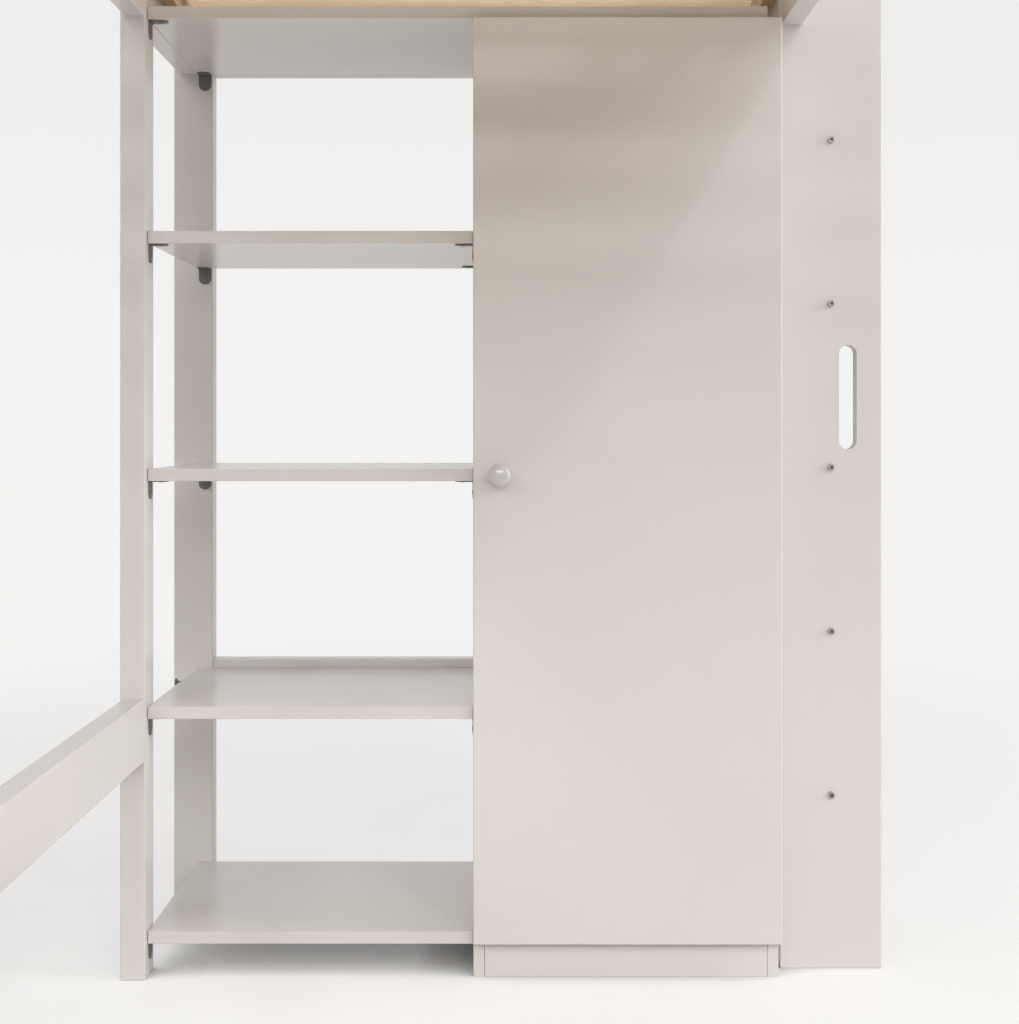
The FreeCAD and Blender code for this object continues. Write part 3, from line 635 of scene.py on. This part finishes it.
shelf_low, shelf_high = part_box("shelf_2")
shelf_middle = (shelf_low.z + shelf_high.z) / 2
shank_x = shelf_low.x - SHANK_LENGTH / 2 + SCREW_SEAT
shelf_screw = start_piece(
    "shelf_screw", bpy.ops.mesh.primitive_cylinder_add,
    vertices=24, radius=SHANK_RADIUS, depth=SHANK_LENGTH,
    location=(shank_x, SHELF_SCREW_Y, shelf_middle), rotation=(0, math.pi / 2, 0),
)
bpy.ops.object.mode_set(mode="EDIT")
bpy.ops.mesh.select_mode(type="FACE")
pick_faces(shelf_screw, lambda face: face.normal.x < -STRAIGHT)
bpy.ops.mesh.extrude_region_move(TRANSFORM_OT_translate={"value": (-FLARE_STEP, 0, 0)})
bpy.ops.transform.resize(value=(1.0, HEAD_FLARE, HEAD_FLARE))
bpy.ops.mesh.extrude_region_move(TRANSFORM_OT_translate={"value": (-HEAD_THICK, 0, 0)})
bpy.ops.mesh.bevel(offset=HEAD_RIM, segments=3, affect="EDGES")
bpy.ops.object.mode_set(mode="OBJECT")
bpy.ops.object.shade_smooth_by_angle(angle=SHARP_ANGLE)
shelf_screw.data.materials.append(coated_steel)
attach(shelf_screw, "frame")
print("shelf screw", len(shelf_screw.data.polygons), "faces")

# %% [markdown]
# ## The stage
#
# A pale floor catches the soft contact shadows. A white sheet in a bright studio looks whiter than the
# things that stand on it, so what the camera sees is partly a plain glow. The glow lights nothing, and
# it is held back where the bed stands close to the floor, so the contact shadows stay deep. Far from the
# bed the floor fades into the background colour, so no horizon shows, and it fades sooner to the sides,
# where a lamp stands.


# %% Floor
BACKGROUND = (0.905, 0.896, 0.882, 1.0)
BACKGROUND_HIGH = (0.858, 0.850, 0.838, 1.0)
FLOOR_BOUNCE = (0.800, 0.772, 0.740, 1.0)
FLOOR_PAINT = (0.440, 0.436, 0.430, 1.0)
FLOOR_GLOW = (0.540, 0.534, 0.527, 1.0)
FLOOR_SIZE = 60.0
CONTACT_REACH = 0.09
CONTACT_SHADE = (0.05, 0.65)
FADE_START = 1.8
FADE_END = 5.5
FADE_SHAPE = (1.7, 1.0, 1.0)


def shows_backdrop(start):
    """Give 1 for the rays that should see the pale backdrop: from the camera, a gloss or a glass."""
    rays = ("Is Camera Ray", "Is Glossy Ray", "Is Transmission Ray")
    camera_ray, glossy_ray, clear_ray = (start.node("ShaderNodeLightPath", output=ray) for ray in rays)
    return camera_ray + glossy_ray + clear_ray


floor = start_piece("studio_floor", bpy.ops.mesh.primitive_plane_add, size=FLOOR_SIZE)
floor_material, start = start_finish("studio_floor_paint")
place = stretched(start, FADE_SHAPE)
reach = start.node("ShaderNodeVectorMath", {"operation": "LENGTH"}, {0: place}, output="Value")
fade = smooth_step(start, reach, FADE_START, FADE_END)
contact = {"Distance": CONTACT_REACH}
clear = start.node("ShaderNodeAmbientOcclusion", {"samples": 8}, contact, output="AO")
glow_level = smooth_step(start, clear, *CONTACT_SHADE)
bounce = start.node("ShaderNodeBsdfDiffuse", inputs={"Color": FLOOR_BOUNCE})
paint = start.node("ShaderNodeBsdfDiffuse", inputs={"Color": FLOOR_PAINT})
glow = start.node("ShaderNodeEmission", inputs={"Color": FLOOR_GLOW, "Strength": glow_level})
near_floor = start.node("ShaderNodeAddShader", inputs={0: paint, 1: glow})
far_floor = start.node("ShaderNodeEmission", inputs={"Color": BACKGROUND})
shown_floor = start.node("ShaderNodeMixShader", inputs={0: fade, 1: near_floor, 2: far_floor})
blend = start.node("ShaderNodeMixShader", inputs={0: shows_backdrop(start), 1: bounce, 2: shown_floor})
start.node("ShaderNodeOutputMaterial", inputs={"Surface": blend})
floor.data.materials.append(floor_material)
print("floor fades from", FADE_START, "to", FADE_END, "m")

# %% [markdown]
# ## Light
#
# A white tent surrounds the bed. Most of its light comes from a belt above eye level, a little more from
# the front, and very little from straight above, so the space under the bed deepens towards the platform
# as it does in a real room. Rays from the camera and from a gloss see the plain backdrop instead. A wide
# lamp in front lifts the door and draws the line of light on the knob, and a tall one on the right rounds
# the knob's edge. Two weak far lamps, one from each side, throw the soft shadows of slats and knob.


# %% Tent
BELT = 3.20
BELT_FRONT = 0.95
OVERHEAD = 0.05
WHITE = (1, 1, 1, 1)
BELT_FOOT = (0.28, 0.40)
BELT_TOP = (0.45, 0.57)
FRONT_SPAN = (0.0, 0.9)
BACKDROP_RISE = (0.02, 0.26)

world = bpy.data.worlds.new("studio_tent")
bpy.context.scene.world = world
world.use_nodes = True
world.node_tree.nodes.clear()
start = Wire(world.node_tree)
direction = start.node("ShaderNodeTexCoord", output="Generated")
forward = start.node("ShaderNodeSeparateXYZ", inputs={"Vector": direction}, output="Y")
upward = start.node("ShaderNodeSeparateXYZ", inputs={"Vector": direction}, output="Z")
above_belt = smooth_step(start, upward, *BELT_TOP)
belt = smooth_step(start, upward, *BELT_FOOT) * (1 - above_belt)
front_side = smooth_step(start, -1 * forward, *FRONT_SPAN)
strength = belt * (BELT + BELT_FRONT * front_side) + OVERHEAD * above_belt
tent = start.node("ShaderNodeBackground", inputs={"Color": WHITE, "Strength": strength})
rise = smooth_step(start, upward, *BACKDROP_RISE)
backdrop_colour = mix_colours(start, rise, BACKGROUND, BACKGROUND_HIGH)
backdrop = start.node("ShaderNodeBackground", inputs={"Color": backdrop_colour})
sky = start.node("ShaderNodeMixShader", inputs={0: shows_backdrop(start), 1: tent, 2: backdrop})
start.node("ShaderNodeOutputWorld", inputs={"Surface": sky})
print("tent belt", BELT, "with", BELT_FRONT, "more in front and", OVERHEAD, "above")


# %% Lamps
def add_lamp(name, kind, place, target, settings):
    """Add a lamp of a kind that faces a point."""
    data = bpy.data.lights.new(name, kind)
    for setting, value in settings.items():
        setattr(data, setting, value)
    lamp = bpy.data.objects.new(name, data)
    lamp.location = place
    lamp.rotation_euler = (Vector(target) - Vector(place)).to_track_quat("-Z", "Y").to_euler()
    bpy.context.scene.collection.objects.link(lamp)
    print(name, "of", data.energy)


FAR_WIDTH = math.radians(4.0)
FRONT_LAMP = {"shape": "RECTANGLE", "size": 2.2, "size_y": 0.7, "energy": 30.0}
RIGHT_LAMP = {"shape": "RECTANGLE", "size": 1.3, "size_y": 3.5, "energy": 100.0}
FAR_LEFT_LAMP = {"angle": FAR_WIDTH, "energy": 0.15}
FAR_RIGHT_LAMP = {"angle": FAR_WIDTH, "energy": 0.26}
BED_MIDDLE = (0, 0, 0)
add_lamp("front_lamp", "AREA", (0.1, -4.2, 2.1), (0.0, 0.6, 0.7), FRONT_LAMP)
add_lamp("right_lamp", "AREA", (4.6, -0.2, 2.15), (0.2, 0.6, 0.9), RIGHT_LAMP)
add_lamp("far_left_lamp", "SUN", (-5.0, -10.0, 7.9), BED_MIDDLE, FAR_LEFT_LAMP)
add_lamp("far_right_lamp", "SUN", (4.7, -10.0, 7.9), BED_MIDDLE, FAR_RIGHT_LAMP)

# %% [markdown]
# ## Camera
#
# The photograph looks straight down the length of the bed, so all boards that run away from us meet at
# one point. That point is not the picture's middle: the lens was shifted, which keeps uprights upright.

# %% Camera
LENS = 60.2
LENS_SHIFT = (-0.0018, -0.084)
CAMERA_PLACE = (0.011, -1.869, 0.799)

camera_data = bpy.data.cameras.new("studio_camera")
camera_data.sensor_width = 36.0
camera_data.lens = LENS
camera_data.shift_x, camera_data.shift_y = LENS_SHIFT
camera = bpy.data.objects.new("studio_camera", camera_data)
camera.location = CAMERA_PLACE
camera.rotation_euler = (math.pi / 2, 0.0, 0.0)
bpy.context.scene.collection.objects.link(camera)
bpy.context.scene.camera = camera
bpy.context.scene.view_settings.view_transform = "Standard"
print("camera at", CAMERA_PLACE, "with a lens of", LENS, "mm")
